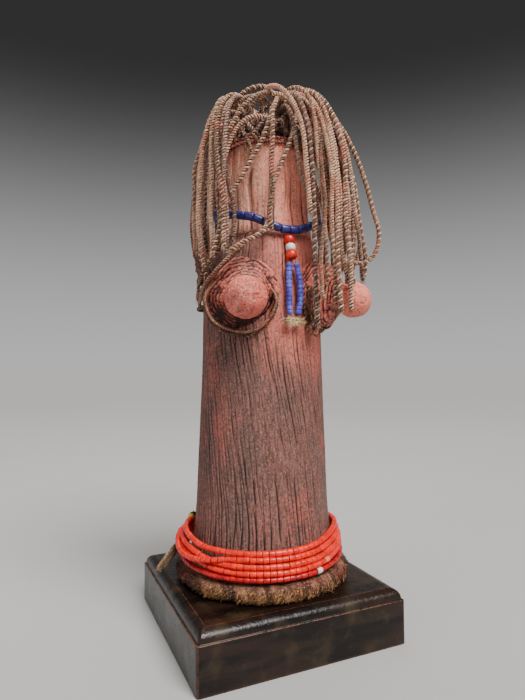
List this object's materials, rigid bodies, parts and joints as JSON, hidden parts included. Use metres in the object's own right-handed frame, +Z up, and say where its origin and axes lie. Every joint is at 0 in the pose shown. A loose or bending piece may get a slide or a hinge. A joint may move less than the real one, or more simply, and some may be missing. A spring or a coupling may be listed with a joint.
{
  "type": "fertility doll on a plinth",
  "caption": "Bark-covered doll with hide breasts, corded hair and bead strings, pinned on a square stained wood plinth.",
  "frame": {"origin": "middle of the plinth's underside", "axes": "+Z up along the doll, -Y the way the doll faces, +X to the doll's left-hand side"},
  "size_m": [0.1181, 0.117, 0.3094],
  "materials": {
    "lacquered_wood": "dark stained wood, glossy on the moulding, worn along the edges",
    "steel_pin": "plain drawn steel rod",
    "core_wood": "rough carved wood, hidden",
    "ochred_bark": "wrinkled bark cloth rubbed with red ochre, matt",
    "fibre_rim": "bound plant fibre with cut ends",
    "crown_fibre": "matted fibre in shade",
    "ochre_cord": "thin ochred cord",
    "ochred_hide": "stuffed hide rubbed with red ochre and fat",
    "twisted_cord": "two-ply twisted fibre cord",
    "thread": "thin spun thread",
    "white_glass": "opaque white bead",
    "yellow_glass": "opaque yellow bead",
    "blue_glass": "opaque dark blue bead",
    "red_glass": "opaque orange-red bead",
    "straw_fibre": "pale tied fibre",
    "hair_cord": "two-ply twisted fibre cord"
  },
  "bodies": {
    "plinth_body": {"plinth": "lacquered_wood"},
    "pin_body": {"mounting_pin": "steel_pin"},
    "doll_body": {"back_cords": "twisted_cord", "bark_cover": "ochred_bark", "body_core": "core_wood", "breast_cord_left": "twisted_cord", "breast_cord_right": "twisted_cord", "breast_left": "ochred_hide", "breast_right": "ochred_hide", "brow_lace": "ochre_cord", "collar_beads": "blue_glass", "collar_thread": "thread", "crown_bundle": "crown_fibre", "foot_rim": "fibre_rim", "hair_back_1": "hair_cord", "hair_back_2": "hair_cord", "hair_back_3": "hair_cord", "hair_back_4": "hair_cord", "hair_back_5": "hair_cord", "hair_back_6": "hair_cord", "hair_face_high": "hair_cord", "hair_face_low": "hair_cord", "hair_forelock": "hair_cord", "hair_front": "hair_cord", "hair_left_1": "hair_cord", "hair_left_2": "hair_cord", "hair_left_3": "hair_cord", "hair_left_4": "hair_cord", "hair_left_5": "hair_cord", "hair_left_thick": "hair_cord", "hair_right_1": "hair_cord", "hair_right_2": "hair_cord", "hair_right_3": "hair_cord", "hair_right_4": "hair_cord", "hair_right_5": "hair_cord", "hair_right_6": "hair_cord", "hair_right_7": "hair_cord", "hair_right_outer": "hair_cord", "head_cover": "ochred_bark", "hide_wad": "ochred_hide", "rim_lashing": "ochre_cord"},
    "waist_body": {"waist_strand_1": "red_glass", "waist_strand_2": "red_glass", "waist_strand_3": "red_glass", "waist_strand_4": "red_glass", "waist_strand_5": "red_glass", "waist_thread": "thread", "white_bead": "white_glass", "yellow_bead": "yellow_glass", "blue_bead": "blue_glass", "tail_strip": "fibre_rim"},
    "stem_body": {"pendant_red_beads": "red_glass", "pendant_white_bead": "white_glass", "pendant_thread": "thread"},
    "left_string_body": {"string_beads_left": "blue_glass", "string_thread_left": "thread", "fibre_knot_left": "straw_fibre"},
    "right_string_body": {"string_beads_right": "blue_glass", "string_thread_right": "thread", "fibre_knot_right": "straw_fibre"}
  },
  "joints": [
    {"name": "doll_turn", "type": "hinge", "parent": "plinth_body", "child": "pin_body", "pos_m": [0, 0, 0.0283], "axis": [0, 0, 1], "continuous": true},
    {"name": "doll_lift", "type": "slide", "parent": "pin_body", "child": "doll_body", "axis": [0, 0, 1], "range_m": [0, 0.045]},
    {"name": "waist_turn", "type": "hinge", "parent": "doll_body", "child": "waist_body", "pos_m": [0, 0, 0.045], "axis": [0, 0, 1], "continuous": true},
    {"name": "stem_swing", "type": "hinge", "parent": "doll_body", "child": "stem_body", "pos_m": [0.0025, -0.0332, 0.2187], "axis": [-1, 0, 0], "range_deg": [0, 38]},
    {"name": "left_string_swing", "type": "hinge", "parent": "stem_body", "child": "left_string_body", "pos_m": [0.0025, -0.037, 0.2042], "axis": [-1, 0, 0], "range_deg": [0, 45]},
    {"name": "right_string_swing", "type": "hinge", "parent": "stem_body", "child": "right_string_body", "pos_m": [0.0025, -0.037, 0.2042], "axis": [-1, 0, 0], "range_deg": [0, 45]}
  ]
}
